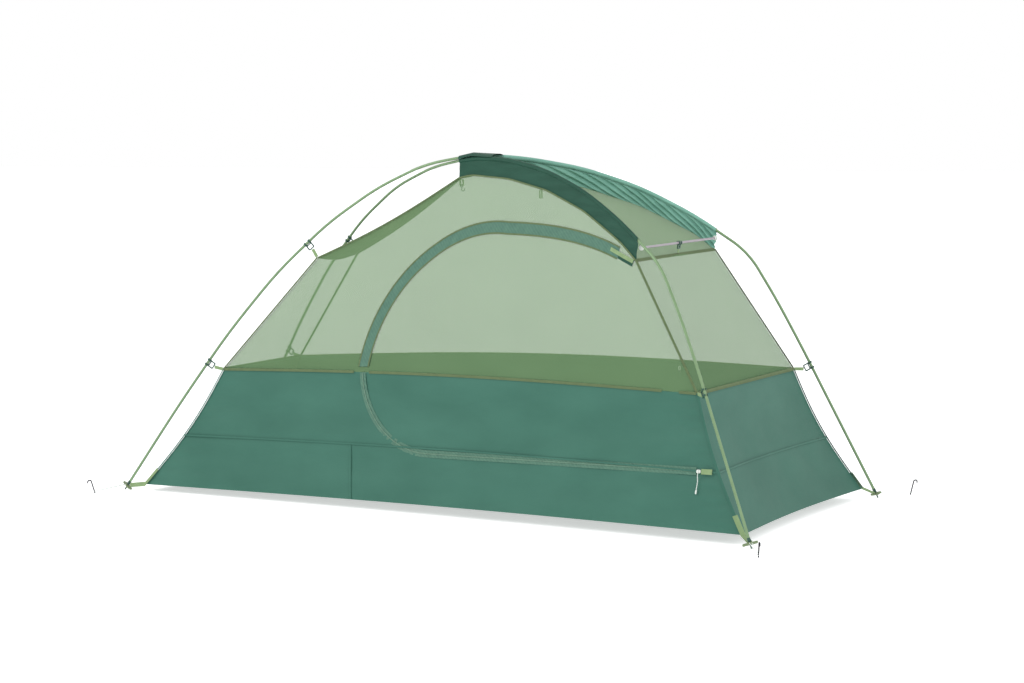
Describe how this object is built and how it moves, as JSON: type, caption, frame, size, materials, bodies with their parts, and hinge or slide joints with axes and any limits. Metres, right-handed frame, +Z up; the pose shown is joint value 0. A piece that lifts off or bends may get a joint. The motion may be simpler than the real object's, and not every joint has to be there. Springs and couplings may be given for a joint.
{
  "type": "one-person tent on poles",
  "caption": "One-person double-wall style inner tent pitched on crossing bent poles, mesh canopy over a bathtub floor, zipped side door, clips, straps and stakes.",
  "frame": {"origin": "on the ground, at the middle of the pitched tent's footprint, stakes and cords included", "axes": "+X along the tent from the narrow foot end to the wide head end, -Y towards the side with the door, +Z up"},
  "size_m": [2.376, 1.2492, 1.0747],
  "materials": {
    "mesh": "fine pale sage no-see-um mesh, translucent",
    "tub_cloth": "coated teal-green ripstop cloth, satin",
    "floor_cloth": "coated dark green floor cloth, satin",
    "sleeve_cloth": "thin teal-green cloth, satin",
    "binding": "olive grosgrain binding tape",
    "zip_tape": "teal zip tape and flap with olive edges",
    "zip_coil": "moulded nylon coil",
    "webbing": "light olive-green woven webbing",
    "pole_alloy": "pale green anodised tube, satin",
    "spreader_alloy": "silver anodised tube, satin",
    "dark_plastic": "dark green moulded plastic",
    "bar_plastic": "olive moulded plastic",
    "pale_plastic": "off-white moulded plastic",
    "white_cord": "white braided cord",
    "stake_metal": "dark coated aluminium rod"
  },
  "bodies": {
    "tent": {"canopy_far_panel": "mesh", "canopy_foot_panel": "mesh", "canopy_head_panel": "mesh", "canopy_near_panel": "mesh", "canopy_ridge_panel": "binding", "canopy_roof_panel": "mesh", "clip_straps": "webbing", "corner_bars": "bar_plastic", "corner_tabs": "webbing", "crossing_hood": "sleeve_cloth", "far_foot_stake_cord": "white_cord", "far_head_stake_cord": "white_cord", "far_sleeve_band": "sleeve_cloth", "floor_panel": "floor_cloth", "hang_loop": "webbing", "head_clips": "dark_plastic", "high_pole_elbow_section": "pole_alloy", "high_pole_foot_sections": "pole_alloy", "high_pole_head_leg": "pole_alloy", "high_pole_peak_sections": "pole_alloy", "lantern_loop": "webbing", "low_pole_elbow_section": "pole_alloy", "low_pole_foot_sections": "pole_alloy", "low_pole_head_leg": "pole_alloy", "low_pole_peak_sections": "pole_alloy", "lower_foot_clips": "dark_plastic", "near_foot_stake_cord": "white_cord", "near_head_stake_cord": "white_cord", "near_sleeve_band": "sleeve_cloth", "pole_ferrules": "pole_alloy", "pole_shock_cords": "white_cord", "pole_sleeves": "sleeve_cloth", "pole_tips": "dark_plastic", "seam_bindings": "binding", "spreader_clip": "dark_plastic", "spreader_end_rings": "pale_plastic", "spreader_ferrule": "spreader_alloy", "spreader_tubes": "spreader_alloy", "stakes": "stake_metal", "tub_far_wall": "tub_cloth", "tub_foot_wall": "tub_cloth", "tub_head_wall": "tub_cloth", "tub_near_lower": "tub_cloth", "tub_near_upper": "tub_cloth", "upper_foot_clips": "dark_plastic", "zip_coil": "zip_coil", "zip_end_tab": "webbing", "zip_frame_tape": "zip_tape"},
    "door": {"door_mesh_panel": "mesh", "door_tub_panel": "tub_cloth", "door_zip_flap": "zip_tape", "door_zip_tape": "zip_tape"},
    "zip_slider_body": {"zip_slider": "pale_plastic"},
    "zip_pull": {"zip_pull_cord": "white_cord", "zip_pull_grip": "pale_plastic", "zip_pull_link": "pale_plastic"},
    "hook": {"lantern_hook": "dark_plastic"},
    "tie": {"door_tie_toggle": "dark_plastic", "door_tie_loop": "white_cord"}
  },
  "joints": [
    {"name": "door_swing", "type": "hinge", "parent": "tent", "child": "door", "pos_m": [0.9, -0.40514, 0.19177], "axis": [-0.4491, 0.2173, 0.8667], "range_deg": [0, 110]},
    {"name": "zip_slide", "type": "slide", "parent": "tent", "child": "zip_slider_body", "axis": [-0.9976, 0.0675, -0.0138], "range_m": [0, 0.82]},
    {"name": "zip_pull_swing", "type": "hinge", "parent": "zip_slider_body", "child": "zip_pull", "pos_m": [0.90946, -0.41351, 0.19365], "axis": [-0.9976, 0.0675, -0.0138], "range_deg": [0, 120]},
    {"name": "lantern_hook_swing", "type": "hinge", "parent": "tent", "child": "hook", "pos_m": [-0.074, 0, 0.9706], "axis": [0, 1, 0], "range_deg": [-45, 45]},
    {"name": "tie_toggle_swing", "type": "hinge", "parent": "tent", "child": "tie", "pos_m": [0.81429, -0.32648, 0.4782], "axis": [0, 1, 0], "range_deg": [-50, 50]}
  ]
}
